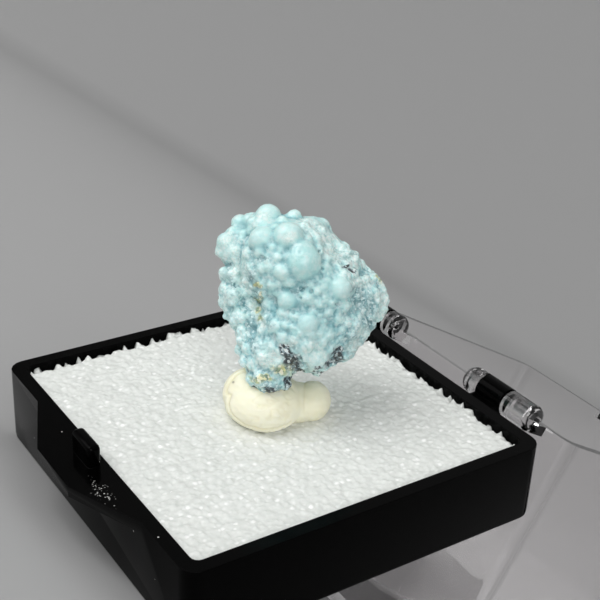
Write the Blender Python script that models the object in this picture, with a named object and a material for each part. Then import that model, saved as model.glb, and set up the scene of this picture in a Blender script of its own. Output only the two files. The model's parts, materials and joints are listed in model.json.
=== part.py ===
"""A gibbsite specimen on putty and foam in a small hinged display box.

All pieces are laid out in the tray's own axes: X along the hinge, Y from the clasp side to the hinge side,
Z up, with z = 0 at the tray's rim. The box stands open, its lid folded right back under it like the foot of
an easel, so the root empty then tilts the tray until both touch the ground.
"""

import math
import random

import bmesh
import bpy
from mathutils import Euler, Matrix, Vector

MM = 0.001

# Box, in millimetres
BOX_SIDE = 36.0
TRAY_HEIGHT = 7.7
LID_HEIGHT = 28.3
WALL = 1.3
TRAY_FLOOR = 1.2
CORNER_RADIUS = 1.5
INNER_RADIUS = 0.7
EDGE_RADIUS = 0.5
GAP = 0.3
ROOT_DEPTH = 0.6

# Hinge: its axis runs along X, outside the wall, level with the rim
HINGE_OFFSET = 2.1
BARREL_RADIUS = 1.35
BORE_RADIUS = 0.9
PIN_RADIUS = 0.6
SNAP_SLOT = 1.0
BARREL_SPAN = (7.7, 10.9)
INNER_KNUCKLE_LENGTH = 1.8
OUTER_KNUCKLE_LENGTH = 3.4
KNUCKLE_ROUNDING = 0.5
PIN_OVERLAP = 0.9
NECK_CLEARANCE = 0.75
LID_OPEN = 210.0

HALF_SIDE = BOX_SIDE / 2
HINGE_Y = HALF_SIDE + HINGE_OFFSET

# Clasp
TAB_THICKNESS = 1.0
TAB_REACH = 3.0
TAB_HALF_ROOT = 10.4
TAB_HALF_TIP = 3.2
LUG_HALF_WIDTH = 1.8
LUG_DEPTH = 1.2
LUG_HEIGHT = 2.0
LUG_INSET = 0.7
WINDOW_OVERSHOOT = 0.2
LUG_ROUNDING = 0.4
LIP_HALF_WIDTH = 4.6
LIP_REACH = 2.7
LIP_THICKNESS = 1.0

# Foam pad
FOAM_BELOW_RIM = 0.4

# Viewing frame of the specimen: the plane through its middle that faces the display side. A place on it is
# (right, up, out) in millimetres, as seen from the eye, with out towards the eye.
EYE = Vector((79.8, -52.2, 58.5))
FACE_CENTRE = Vector((1.2, 2.4, 10.65))
FACE_ROLL = 3.05

# Main masses of the specimen: right, up, out, half width, half height, half depth
MASSES = (
    (-1.1, 3.2, -0.8, 4.3, 4.1, 4.2),
    (1.1, 0.7, -1.2, 4.4, 4.4, 4.4),
    (4.6, 0.2, -2.2, 2.9, 2.7, 2.8),
    (0.2, -2.1, -1.0, 4.2, 4.1, 3.9),
    (3.2, -1.6, -1.6, 3.0, 3.0, 3.2),
    (-2.1, -4.4, -1.2, 2.7, 2.7, 2.9),
    (-2.7, -6.5, -1.4, 2.1, 1.9, 2.2),
    (0.7, 4.8, -1.9, 2.4, 2.7, 2.8),
    (3.1, 2.5, -2.0, 2.5, 2.5, 3.0),
    (2.0, 4.7, -2.2, 1.6, 1.6, 2.2),
    (6.1, -0.3, -2.4, 1.8, 1.8, 2.0),
    (4.7, -2.3, -2.2, 1.7, 1.7, 2.2),
    (3.3, -3.6, -1.9, 2.0, 2.0, 2.2),
    (1.2, -4.4, -1.2, 2.0, 2.1, 2.4),
    (-3.4, 6.4, -1.6, 1.6, 1.5, 2.0),
    (-5.0, 5.3, -2.2, 1.6, 1.6, 2.0),
    (-5.8, 4.2, -1.9, 1.4, 1.4, 2.2),
    (-5.9, 2.2, -2.1, 1.0, 1.1, 2.2),
    (-5.8, 0.4, -2.0, 1.2, 1.2, 2.3),
    (-5.2, -1.4, -1.9, 1.2, 1.2, 2.2),
    (-4.6, -3.2, -1.7, 1.1, 1.2, 2.2),
    (-4.2, -5.1, -1.6, 1.1, 1.2, 2.0),
    (-4.4, 1.4, -2.3, 1.6, 3.2, 2.2),
    (-4.1, -2.0, -2.0, 1.4, 2.6, 2.2),
)

# Broken matrix that the crust grew over, which shows behind and below: right, up, out, radius
MATRIX_CHUNKS = (
    (-0.6, 1.6, -4.2, 4.4),
    (1.6, -1.0, -4.0, 4.0),
    (-2.2, -2.6, -3.6, 3.2),
)

# Lumps of the crust on the display side: right, up, radius. Each stands on the masses where it is seen.
CROWN_DOMES = (
    (0.2, 3.3, 1.75), (0.15, 4.0, 1.33), (-1.0, 5.5, 1.42), (-2.8, 7.35, 1.2), (-3.3, 6.6, 0.95),
    (-5.3, 6.8, 0.85), (-6.5, 5.1, 0.95), (-7.0, 4.3, 0.6), (-5.1, 5.2, 0.6), (-4.6, 4.1, 0.58),
    (-3.3, 5.3, 1.25), (-4.0, 5.0, 0.62), (-2.7, 5.5, 0.53), (-3.5, 4.2, 0.58), (-0.5, 7.4, 0.7),
    (-1.5, 2.5, 0.85), (-0.9, 1.8, 0.71), (-1.6, 7.0, 0.53), (-2.1, 6.4, 0.44), (0.4, 6.5, 0.53),
    (-4.3, 6.1, 0.5), (-6.0, 6.0, 0.6), (-4.3, 6.9, 0.45), (1.7, 4.3, 0.55), (2.0, 2.7, 0.5),
)
MIDDLE_LUMPS = (
    (-1.0, 0.0, 1.02), (0.7, 0.2, 0.58), (-1.7, 0.7, 0.62), (-1.5, -1.2, 0.62), (-0.4, -1.5, 0.62),
    (0.2, -1.0, 0.35), (1.1, -1.0, 0.49), (-2.1, -2.3, 0.71), (0.7, -2.1, 1.0), (0.1, -2.8, 0.58),
    (1.0, -2.9, 0.58), (0.6, -4.0, 0.71), (2.0, -3.7, 0.53), (2.7, -4.2, 0.44), (3.5, -3.3, 0.4),
    (1.4, -5.1, 1.15), (0.5, -4.9, 0.62), (2.2, -5.1, 0.53), (1.1, -5.9, 0.58), (1.9, -5.9, 0.53),
    (-1.6, -3.2, 0.58), (-2.7, -0.4, 0.67), (-3.0, -1.6, 0.44), (-3.4, 2.7, 0.44), (-2.5, 1.4, 0.44),
    (-3.4, 0.7, 0.44),
)
RIGHT_LUMPS = (
    (3.5, 1.0, 1.1), (4.3, 1.2, 0.71), (3.8, 2.0, 0.71), (5.0, 0.4, 0.53), (2.1, 1.1, 0.44),
    (2.4, 1.8, 0.35), (2.5, -1.1, 0.44), (3.3, -1.6, 0.53), (4.1, -1.9, 0.58), (4.9, -2.0, 0.58),
    (2.0, -1.9, 0.44), (1.7, -0.4, 0.44), (3.6, -2.6, 0.53), (2.9, -0.3, 0.44), (4.0, -0.5, 0.53),
    (5.8, 1.7, 0.53), (6.0, 0.4, 0.53), (5.5, -0.7, 0.62), (4.6, -3.0, 0.53), (2.2, 2.8, 0.53),
)
LEFT_LUMPS = (
    (-6.7, 2.4, 0.58), (-6.6, 1.2, 0.53), (-5.8, 1.7, 0.49), (-5.8, 0.5, 0.62), (-6.8, -0.2, 0.53),
    (-6.2, -0.8, 0.58), (-6.5, -1.4, 0.4), (-5.5, -0.5, 0.53), (-5.9, -1.9, 0.44), (-5.1, -2.7, 0.53),
    (-5.3, -3.5, 0.44), (-5.3, -4.4, 0.53), (-4.5, -4.3, 0.71), (-3.7, -4.3, 0.58), (-4.9, -5.4, 0.58),
    (-4.0, -5.7, 0.71), (-3.2, -5.1, 0.71), (-2.5, -4.2, 0.53), (-5.6, 3.4, 0.53), (-5.3, 2.6, 0.4),
    (-4.4, 2.8, 0.4), (-4.8, 1.7, 0.4), (-4.3, 0.7, 0.4), (-4.4, -0.4, 0.45), (-3.9, -1.2, 0.4),
    (-4.2, -2.2, 0.4), (-3.4, -2.8, 0.5), (-2.8, -3.5, 0.4),
)
RIM_LUMPS = (
    (0.6, 6.8, 0.5), (1.3, 6.6, 0.5), (1.9, 6.1, 0.5), (2.5, 5.6, 0.48), (3.1, 5.1, 0.48),
    (3.7, 4.6, 0.45), (4.3, 4.1, 0.45), (4.9, 3.6, 0.45), (5.5, 3.1, 0.45), (6.0, 2.5, 0.48),
    (6.5, 1.9, 0.5), (7.0, 1.4, 0.5), (7.3, 0.7, 0.48), (7.6, 0.0, 0.48), (7.4, -0.8, 0.48),
    (6.9, -1.5, 0.5), (6.3, -2.2, 0.5), (5.8, -2.9, 0.48), (5.2, -3.7, 0.5), (4.6, -4.4, 0.5),
    (3.8, -5.0, 0.5), (3.0, -5.5, 0.45), (2.3, -5.8, 0.4),
)
FOOT_LUMPS = (
    (-3.4, -7.0, 0.8), (-2.5, -7.6, 0.71), (-1.3, -7.5, 0.62), (-4.3, -7.1, 0.53), (-1.2, -6.4, 0.53),
    (-1.8, -5.5, 0.53),
)
PLACED_LUMPS = CROWN_DOMES + MIDDLE_LUMPS + RIGHT_LUMPS + LEFT_LUMPS + RIM_LUMPS + FOOT_LUMPS
LUMP_SINK = 0.45
DOME_SINK = 0.38
DOME_RADIUS = 0.75

# Lumps that close the gaps between the placed ones, on a jittered lattice
FILL_SPACING = 0.86
FILL_JITTER = 0.22
FILL_RADII = (0.36, 0.6)
FILL_CLEAR = 0.62
FILL_SINK = 0.45
FILL_REACH = 9.0
FILL_SEED = 5

# Smaller lumps that cover the sides and the back
BACK_LUMP_COUNT = 150
BACK_LUMP_RADII = (0.45, 1.05)
BACK_SEED = 11

# Putty: centre and half sizes in the tray's axes, turned so that its first axis runs to the viewer's right
TACK_TURN = 56.6
TACK_LOBES = (
    ((1.2, -0.8, 1.1), (3.7, 3.5, 2.45)),
    ((2.85, 3.15, 0.9), (1.75, 2.2, 1.75)),
    ((-1.2, 0.6, 0.7), (2.6, 2.4, 1.9)),
    ((2.38, 1.88, 0.85), (1.9, 2.3, 1.75)),
    ((-0.34, -1.69, 1.3), (2.3, 2.4, 2.5)),
)

# Faceting of the natural pieces
STONE_VOXEL = 0.32
STONE_KEEP = 0.27
TACK_VOXEL = 0.4
TACK_KEEP = 0.22
FOOT_TOP = -5.0


def clear_scene():
    """Remove whatever the file starts with."""
    for item in list(bpy.data.objects):
        bpy.data.objects.remove(item, do_unlink=True)


def make_material(name, colour, roughness, alpha=1.0):
    """A Principled material of one colour."""
    material = bpy.data.materials.new(name)
    material.use_nodes = True
    shader = material.node_tree.nodes["Principled BSDF"]
    shader.inputs["Base Color"].default_value = (*colour, 1.0)
    shader.inputs["Roughness"].default_value = roughness
    shader.inputs["Metallic"].default_value = 0.0
    shader.inputs["Alpha"].default_value = alpha
    return material


def add_object(name, work, parent, material=None):
    """Turn a bmesh in millimetres into an object in metres."""
    bmesh.ops.recalc_face_normals(work, faces=work.faces)
    bmesh.ops.scale(work, vec=(MM, MM, MM), verts=work.verts)
    mesh = bpy.data.meshes.new(name)
    work.to_mesh(mesh)
    work.free()
    item = bpy.data.objects.new(name, mesh)
    bpy.context.collection.objects.link(item)
    item.parent = parent
    if material:
        mesh.materials.append(material)
    return item


def as_guide(item):
    """Mark an object as a construction guide, which is no piece of the model."""
    item.hide_render = True
    item.display_type = "WIRE"
    return item


def add_boolean(target, guide, operation):
    """Join a guide to a target, or cut it away."""
    step = target.modifiers.new(guide.name, "BOOLEAN")
    step.operation = operation
    step.solver = "EXACT"
    step.object = as_guide(guide)


def box_bmesh(low, high):
    """A box between two corners."""
    work = bmesh.new()
    bmesh.ops.create_cube(work, size=1.0)
    middle = [(a + b) / 2 for a, b in zip(low, high)]
    sides = [b - a for a, b in zip(low, high)]
    bmesh.ops.scale(work, vec=sides, verts=work.verts)
    bmesh.ops.translate(work, vec=middle, verts=work.verts)
    return work


def bevel_edges(work, chosen, width, segments):
    """Round the edges that the test picks."""
    edges = [edge for edge in work.edges if chosen(edge)]
    bmesh.ops.bevel(work, geom=edges, offset=width, segments=segments, affect="EDGES", profile=0.5)


def is_upright(edge):
    """True for an edge along Z."""
    first, second = edge.verts
    return abs(first.co.z - second.co.z) > max(abs(first.co.x - second.co.x), abs(first.co.y - second.co.y))


def level_at(height):
    """A test for edges that lie at one height."""
    return lambda edge: all(abs(vert.co.z - height) < 1e-6 for vert in edge.verts)


def at_end(place):
    """A test for edges that lie at one place on X."""
    return lambda edge: all(abs(vert.co.x - place) < 1e-6 for vert in edge.verts)


def shell_bmesh(low, high, corner_radius, closed_end=None):
    """A box with round upright corners and, at its closed end, a round edge."""
    work = box_bmesh(low, high)
    bevel_edges(work, is_upright, corner_radius, 4)
    if closed_end is not None:
        bevel_edges(work, level_at(closed_end), EDGE_RADIUS, 3)
    return work


def rod_bmesh(radius, start, end, segments=20):
    """A round bar along the hinge axis, between two places on X."""
    work = bmesh.new()
    turn = Matrix.Rotation(math.radians(90), 4, "Y")
    place = Matrix.Translation(((start + end) / 2, HINGE_Y, 0.0))
    bmesh.ops.create_cone(
        work, cap_ends=True, segments=segments, radius1=radius, radius2=radius,
        depth=end - start, matrix=place @ turn,
    )
    return work


def add_tray(parent, material):
    """The black base, with its barrels, thumb tab and catch lug."""
    tray = add_object("tray", shell_bmesh(
        (-HALF_SIDE, -HALF_SIDE, -TRAY_HEIGHT), (HALF_SIDE, HALF_SIDE, 0.0), CORNER_RADIUS, -TRAY_HEIGHT,
    ), parent, material)
    inside = HALF_SIDE - WALL
    hollow = shell_bmesh((-inside, -inside, TRAY_FLOOR - TRAY_HEIGHT), (inside, inside, 2.0), INNER_RADIUS)
    add_boolean(tray, add_object("tray_hollow", hollow, parent), "DIFFERENCE")
    add_boolean(tray, add_object("thumb_tab", tab_bmesh(), parent), "UNION")
    add_boolean(tray, add_object("catch_lug", lug_bmesh(), parent), "UNION")
    for side, word in ((-1, "left"), (1, "right")):
        start, end = sorted(side * reach for reach in BARREL_SPAN)
        neck = box_bmesh((start, HALF_SIDE - ROOT_DEPTH, -BARREL_RADIUS), (end, HINGE_Y - NECK_CLEARANCE, -0.1))
        slot = box_bmesh(
            (start - 1.0, HINGE_Y - SNAP_SLOT / 2, -3.0), (end + 1.0, HINGE_Y + SNAP_SLOT / 2, 0.0),
        )
        add_boolean(tray, add_object("neck_" + word, neck, parent), "UNION")
        add_boolean(tray, add_object("barrel_" + word, rod_bmesh(BARREL_RADIUS, start, end), parent), "UNION")
        bore = rod_bmesh(BORE_RADIUS, start - 1.0, end + 1.0)
        add_boolean(tray, add_object("bore_" + word, bore, parent), "DIFFERENCE")
        add_boolean(tray, add_object("snap_slot_" + word, slot, parent), "DIFFERENCE")
    return tray


def tab_bmesh():
    """The thumb tab: a flat tongue with sloping shoulders, flush with the rim."""
    edge_y = -HALF_SIDE - TAB_REACH
    outline = (
        (-TAB_HALF_ROOT, -HALF_SIDE + ROOT_DEPTH), (-TAB_HALF_ROOT, -HALF_SIDE), (-TAB_HALF_TIP, edge_y),
        (TAB_HALF_TIP, edge_y), (TAB_HALF_ROOT, -HALF_SIDE), (TAB_HALF_ROOT, -HALF_SIDE + ROOT_DEPTH),
    )
    work = bmesh.new()
    face = work.faces.new([work.verts.new((x, y, -TAB_THICKNESS)) for x, y in outline])
    grown = bmesh.ops.extrude_face_region(work, geom=[face])["geom"]
    bmesh.ops.translate(
        work, vec=(0, 0, TAB_THICKNESS), verts=[item for item in grown if isinstance(item, bmesh.types.BMVert)],
    )
    return work


def lug_bmesh():
    """The catch lug, which stands up on the rim's outer half and snaps into the lid's window."""
    near = -HALF_SIDE + LUG_INSET
    work = box_bmesh((-LUG_HALF_WIDTH, near - LUG_DEPTH, -0.5), (LUG_HALF_WIDTH, near, LUG_HEIGHT))
    bevel_edges(work, is_upright, LUG_ROUNDING, 3)
    bevel_edges(work, level_at(LUG_HEIGHT), LUG_ROUNDING, 3)
    return work


def add_lid(parent, material):
    """The clear lid, modelled closed about the hinge axis; its parent turns it open."""
    lid = add_object("lid", shell_bmesh(
        (-HALF_SIDE, -HALF_SIDE, GAP), (HALF_SIDE, HALF_SIDE, LID_HEIGHT), CORNER_RADIUS, LID_HEIGHT,
    ), parent, material)
    inside = HALF_SIDE - WALL
    hollow = shell_bmesh((-inside, -inside, -2.0), (inside, inside, LID_HEIGHT - WALL), INNER_RADIUS)
    add_boolean(lid, add_object("lid_hollow", hollow, parent), "DIFFERENCE")
    front = box_bmesh(
        (-LIP_HALF_WIDTH, -HALF_SIDE - LIP_REACH, GAP),
        (LIP_HALF_WIDTH, -HALF_SIDE + ROOT_DEPTH, GAP + LIP_THICKNESS),
    )
    bevel_edges(front, is_upright, 0.5, 2)
    window = box_bmesh(
        (-LUG_HALF_WIDTH - GAP, -HALF_SIDE + LUG_INSET - LUG_DEPTH - GAP, -1.0),
        (LUG_HALF_WIDTH + GAP, -HALF_SIDE + WALL + WINDOW_OVERSHOOT, LUG_HEIGHT + GAP),
    )
    add_boolean(lid, add_object("front_lip", front, parent), "UNION")
    add_boolean(lid, add_object("catch_window", window, parent), "DIFFERENCE")
    for side, word in ((-1, "left"), (1, "right")):
        for piece, work in knuckle_parts(side):
            add_boolean(lid, add_object(piece + "_" + word, work, parent), "UNION")
    for item in parent.children:
        item.data.transform(Matrix.Translation((0.0, -HINGE_Y * MM, 0.0)))
    return lid


def knuckle_parts(side):
    """The knuckles on both ends of one barrel, their webs to the lid's wall, and the pin between them."""
    near, far = BARREL_SPAN
    inner = sorted((side * (near - GAP), side * (near - GAP - INNER_KNUCKLE_LENGTH)))
    outer = sorted((side * (far + GAP), side * (far + GAP + OUTER_KNUCKLE_LENGTH)))
    pin = sorted((side * (near - GAP - PIN_OVERLAP), side * (far + GAP + PIN_OVERLAP)))
    for word, (start, end) in (("inner", inner), ("outer", outer)):
        yield word + "_web", box_bmesh((start, HALF_SIDE - ROOT_DEPTH, GAP), (end, HINGE_Y, BARREL_RADIUS - 0.1))
        knuckle = rod_bmesh(BARREL_RADIUS, start, end)
        free_end = max(start, end, key=abs) if word == "outer" else min(start, end, key=abs)
        bevel_edges(knuckle, at_end(free_end), KNUCKLE_ROUNDING, 2)
        yield word + "_knuckle", knuckle
    yield "pin", rod_bmesh(PIN_RADIUS, *pin, segments=12)


def add_foam(parent, material):
    """The foam pad, a plain block here."""
    inside = HALF_SIDE - WALL - GAP
    low = (-inside, -inside, TRAY_FLOOR - TRAY_HEIGHT + GAP)
    return add_object("foam_pad", shell_bmesh(low, (inside, inside, -FOAM_BELOW_RIM), 0.5), parent, material)


def face_axes():
    """The right, up and out directions of the specimen's viewing frame."""
    out = (EYE - FACE_CENTRE).normalized()
    level = Vector((0, 0, 1)).cross(out).normalized()
    right = Matrix.Rotation(math.radians(FACE_ROLL), 3, out) @ level
    return right, out.cross(right), out


FACE_RIGHT, FACE_UP, FACE_OUT = face_axes()
FACE_TURN = Matrix((FACE_RIGHT, FACE_UP, FACE_OUT)).transposed()


def face_point(right, up, out):
    """The place seen at (right, up) from the eye, moved out of the face plane along the line of sight."""
    on_plane = FACE_CENTRE + right * FACE_RIGHT + up * FACE_UP
    return on_plane + (EYE - on_plane) * (out / (EYE - FACE_CENTRE).length)


def add_ball(work, centre, radii, turn, detail):
    """Add an ellipsoid to a bmesh."""
    shape = Matrix.Translation(centre) @ turn.to_4x4() @ Matrix.Diagonal((*radii, 1.0))
    bmesh.ops.create_icosphere(work, subdivisions=detail, radius=1.0, matrix=shape)


def first_hit(start, direction):
    """Where a line first meets the main masses, and the outward direction there."""
    best = None
    inverse = FACE_TURN.transposed()
    for right, up, out, *radii in MASSES:
        centre = face_point(right, up, out)
        local_start = Vector(a / r for a, r in zip(inverse @ (start - centre), radii))
        local_way = Vector(a / r for a, r in zip(inverse @ direction, radii))
        a, b, c = local_way.length_squared, local_start.dot(local_way), local_start.length_squared - 1.0
        root = b * b - a * c
        if root < 0:
            continue
        distance = (-b - math.sqrt(root)) / a
        if best is None or distance < best[0]:
            local = local_start + local_way * distance
            outward = FACE_TURN @ Vector(value / r for value, r in zip(local, radii))
            best = (distance, outward.normalized())
    if best is None:
        return None
    return start + direction * best[0], best[1]


def nearest_mass_out(right, up):
    """How far out the closest mass lies, for a lump that stands past the edge of them all."""
    closest = min(MASSES, key=lambda mass: math.hypot(right - mass[0], up - mass[1]) - mass[3])
    return closest[2]


def placed_lumps():
    """The placed lumps of the display side, as centre and radius."""
    for right, up, radius in PLACED_LUMPS:
        way = (face_point(right, up, 0.0) - EYE).normalized()
        hit = first_hit(EYE, way)
        if hit:
            sink = DOME_SINK if radius > DOME_RADIUS else LUMP_SINK
            yield hit[0] + way * radius * sink, radius
        else:
            yield face_point(right, up, nearest_mass_out(right, up)), radius


def fill_lumps():
    """Lumps that close the gaps between the placed ones on the display side."""
    draw = random.Random(FILL_SEED)
    rows = int(FILL_REACH / FILL_SPACING) + 1
    for row in range(-rows, rows + 1):
        for column in range(-rows, rows + 1):
            right = (column + 0.5 * (row % 2)) * FILL_SPACING + draw.uniform(-FILL_JITTER, FILL_JITTER)
            up = row * FILL_SPACING * 0.87 + draw.uniform(-FILL_JITTER, FILL_JITTER)
            radius = draw.uniform(*FILL_RADII)
            if any(math.hypot(right - r, up - u) < FILL_CLEAR * (size + radius) for r, u, size in PLACED_LUMPS):
                continue
            way = (face_point(right, up, 0.0) - EYE).normalized()
            hit = first_hit(EYE, way)
            if hit:
                yield hit[0] + way * radius * FILL_SINK, radius


def back_lumps():
    """Smaller lumps on the sides and back, spaced evenly and varied by a seeded draw."""
    draw = random.Random(BACK_SEED)
    middle = face_point(-0.5, 0.0, -1.5)
    golden = math.pi * (3.0 - math.sqrt(5.0))
    for index in range(BACK_LUMP_COUNT * 2):
        height = 1.0 - 2.0 * (index + 0.5) / (BACK_LUMP_COUNT * 2)
        ring = math.sqrt(1.0 - height * height)
        spread = Vector((ring * math.cos(index * golden), height, ring * math.sin(index * golden)))
        radius = draw.uniform(*BACK_LUMP_RADII)
        jitter = Vector((draw.uniform(-0.1, 0.1), draw.uniform(-0.1, 0.1), draw.uniform(-0.1, 0.1)))
        way = (FACE_TURN @ (spread + jitter)).normalized()
        hit = first_hit(middle + way * 20.0, -way)
        if hit and hit[1].dot(FACE_OUT) < 0.12:
            yield hit[0] - hit[1] * radius * 0.55, radius


def matrix_chunks():
    """Angular lumps of broken matrix, as a centre, a radius and a turn."""
    for index, (right, up, out, radius) in enumerate(MATRIX_CHUNKS):
        yield face_point(right, up, out), radius, Euler((0.7 * index, 1.1 * index, 0.4)).to_matrix()


def stone_bmesh(grow=0.0, below=None):
    """The specimen as overlapping lumps, swollen by grow; below keeps only the lumps of the foot."""
    work = bmesh.new()
    for right, up, out, *radii in MASSES:
        if below is None or up - radii[1] < below:
            add_ball(work, face_point(right, up, out), [r + grow for r in radii], FACE_TURN, 4)
    for centre, radius in (*placed_lumps(), *fill_lumps(), *back_lumps()):
        if below is None or (centre - FACE_CENTRE).dot(FACE_UP) < below:
            add_ball(work, centre, [radius + grow] * 3, Matrix.Identity(3), 2)
    if below is None:
        for centre, radius, turn in matrix_chunks():
            add_ball(work, centre, [radius] * 3, turn, 1)
    return work


def add_remesh(item, voxel, keep):
    """Fuse an object's lumps into one skin and thin its faces."""
    fuse = item.modifiers.new("fuse", "REMESH")
    fuse.mode = "VOXEL"
    fuse.voxel_size = voxel * MM
    thin = item.modifiers.new("thin", "DECIMATE")
    thin.ratio = keep


def add_stone(parent, material):
    """The gibbsite specimen."""
    stone = add_object("gibbsite", stone_bmesh(), parent, material)
    add_remesh(stone, STONE_VOXEL, STONE_KEEP)
    return stone


def add_tack(parent, material):
    """The putty, with a flat underside and a socket for the specimen's foot."""
    work = bmesh.new()
    turn = Matrix.Rotation(math.radians(TACK_TURN), 3, "Z")
    for centre, radii in TACK_LOBES:
        add_ball(work, Vector(centre), radii, turn, 4)
    tack = add_object("mineral_tack", work, parent, material)
    add_remesh(tack, TACK_VOXEL, TACK_KEEP)
    under = box_bmesh((-10, -10, -10), (10, 10, GAP - FOAM_BELOW_RIM))
    add_boolean(tack, add_object("tack_underside", under, parent), "DIFFERENCE")
    socket = add_object("tack_socket", stone_bmesh(GAP, FOOT_TOP), parent)
    add_remesh(socket, TACK_VOXEL, TACK_KEEP)
    add_boolean(tack, socket, "DIFFERENCE")
    return tack


def rest_tilt():
    """The tilt at which the tray's clasp-side bottom edge and the folded lid's back edge are level."""
    angle = math.radians(LID_OPEN)
    reach = LID_HEIGHT - EDGE_RADIUS
    inset = EDGE_RADIUS - HINGE_OFFSET - EDGE_RADIUS * 2
    lid_y = HINGE_Y + inset * math.cos(angle) + reach * math.sin(angle)
    lid_z = -inset * math.sin(angle) + reach * math.cos(angle)
    tray_y = -HALF_SIDE + EDGE_RADIUS
    tray_z = -TRAY_HEIGHT + EDGE_RADIUS
    return math.atan2(tray_z - lid_z, lid_y - tray_y)


def stand_on_ground(root, pieces):
    """Move the root so that the model's lowest point is at z = 0, with the origin under its middle."""
    bpy.context.view_layer.update()
    graph = bpy.context.evaluated_depsgraph_get()
    corners = []
    for piece in pieces:
        shape = piece.evaluated_get(graph)
        corners.extend(shape.matrix_world @ vert.co for vert in shape.data.vertices)
    low = [min(corner[axis] for corner in corners) for axis in range(3)]
    high = [max(corner[axis] for corner in corners) for axis in range(3)]
    root.location -= Vector(((low[0] + high[0]) / 2, (low[1] + high[1]) / 2, low[2]))


def shade_round(piece):
    """Shade round surfaces smooth and leave real corners sharp."""
    piece.data.shade_smooth()
    piece.data.set_sharp_from_angle(angle=math.radians(35))


def build():
    """Make the whole object."""
    clear_scene()
    black = make_material("black_styrene", (0.012, 0.012, 0.013), 0.12)
    clear = make_material("clear_styrene", (0.93, 0.92, 0.93), 0.05, alpha=0.25)
    foam = make_material("white_foam", (0.82, 0.83, 0.80), 0.85)
    putty = make_material("cream_putty", (0.82, 0.79, 0.62), 0.6)
    stone = make_material("blue_gibbsite", (0.40, 0.62, 0.66), 0.4)

    root = bpy.data.objects.new("box_frame", None)
    swing = bpy.data.objects.new("lid_hinge", None)
    for empty in (root, swing):
        bpy.context.collection.objects.link(empty)
    swing.parent = root
    swing.location = (0.0, HINGE_Y * MM, 0.0)
    swing.rotation_euler.x = -math.radians(LID_OPEN)
    root.rotation_euler.x = rest_tilt()

    pieces = [
        add_tray(root, black),
        add_foam(root, foam),
        add_tack(root, putty),
        add_stone(root, stone),
        add_lid(swing, clear),
    ]
    for piece in pieces:
        shade_round(piece)
    stand_on_ground(root, pieces)


build()
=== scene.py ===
"""Looks of the gibbsite specimen in its hinged box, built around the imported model."""

import json
import math
import random

import bmesh
import bpy
import numpy as np
from mathutils import Matrix, Vector


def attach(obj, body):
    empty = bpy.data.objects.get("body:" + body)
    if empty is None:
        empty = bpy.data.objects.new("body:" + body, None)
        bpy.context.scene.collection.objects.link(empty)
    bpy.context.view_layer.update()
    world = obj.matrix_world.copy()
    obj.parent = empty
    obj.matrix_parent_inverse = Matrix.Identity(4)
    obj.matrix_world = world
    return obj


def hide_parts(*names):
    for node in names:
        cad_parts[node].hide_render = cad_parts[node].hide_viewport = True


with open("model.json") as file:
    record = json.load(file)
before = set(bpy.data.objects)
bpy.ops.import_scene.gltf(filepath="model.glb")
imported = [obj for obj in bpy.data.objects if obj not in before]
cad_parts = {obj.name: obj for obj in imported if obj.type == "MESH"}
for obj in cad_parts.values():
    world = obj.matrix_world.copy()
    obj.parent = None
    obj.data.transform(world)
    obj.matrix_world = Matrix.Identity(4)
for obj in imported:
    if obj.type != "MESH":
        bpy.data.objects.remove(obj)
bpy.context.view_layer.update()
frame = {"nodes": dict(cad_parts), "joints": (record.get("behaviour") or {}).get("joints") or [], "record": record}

MM = 0.001
BASE, FOLDING = "base", "folding_lid"

# Box sizes in millimetres, as in the part's source
BOX_SIDE = 36.0
TRAY_HEIGHT = 7.7
WALL = 1.3
TRAY_FLOOR = 1.2
HINGE_OFFSET = 2.1
LID_OPEN = 210.0
FOAM_BELOW_RIM = 0.4
HALF_SIDE = BOX_SIDE / 2
HINGE_Y = HALF_SIDE + HINGE_OFFSET

# The camera of the photograph, in the tray's axes
EYE = Vector((79.85, -52.15, 58.51))
LOOK = Vector((-0.73488, 0.50981, -0.44726))
CAMERA_ROLL = 3.05
LENS = 72.4
SENSOR = 36.0

# Viewing frame of the specimen: right, up and out in millimetres on the plane that faces the display side
FACE_CENTRE = Vector((1.2, 2.4, 10.65))

# The specimen's main masses: right, up, out and their half sizes
MASSES = (
    (-1.1, 3.2, -0.8, 4.3, 4.1, 4.2),
    (1.1, 0.7, -1.2, 4.4, 4.4, 4.4),
    (4.6, 0.2, -2.2, 2.9, 2.7, 2.8),
    (0.2, -2.1, -1.0, 4.2, 4.1, 3.9),
    (3.2, -1.6, -1.6, 3.0, 3.0, 3.2),
    (-2.1, -4.4, -1.2, 2.7, 2.7, 2.9),
    (-2.7, -6.5, -1.4, 2.1, 1.9, 2.2),
    (0.7, 4.8, -1.9, 2.4, 2.7, 2.8),
    (3.1, 2.5, -2.0, 2.5, 2.5, 3.0),
    (2.0, 4.7, -2.2, 1.6, 1.6, 2.2),
    (6.1, -0.3, -2.4, 1.8, 1.8, 2.0),
    (4.7, -2.3, -2.2, 1.7, 1.7, 2.2),
    (3.3, -3.6, -1.9, 2.0, 2.0, 2.2),
    (1.2, -4.4, -1.2, 2.0, 2.1, 2.4),
    (-3.4, 6.4, -1.6, 1.6, 1.5, 2.0),
    (-5.0, 5.3, -2.2, 1.6, 1.6, 2.0),
    (-5.8, 4.2, -1.9, 1.4, 1.4, 2.2),
    (-5.9, 2.2, -2.1, 1.0, 1.1, 2.2),
    (-5.8, 0.4, -2.0, 1.2, 1.2, 2.3),
    (-5.2, -1.4, -1.9, 1.2, 1.2, 2.2),
    (-4.6, -3.2, -1.7, 1.1, 1.2, 2.2),
    (-4.2, -5.1, -1.6, 1.1, 1.2, 2.0),
    (-4.4, 1.4, -2.3, 1.6, 3.2, 2.2),
    (-4.1, -2.0, -2.0, 1.4, 2.6, 2.2),
)
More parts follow.
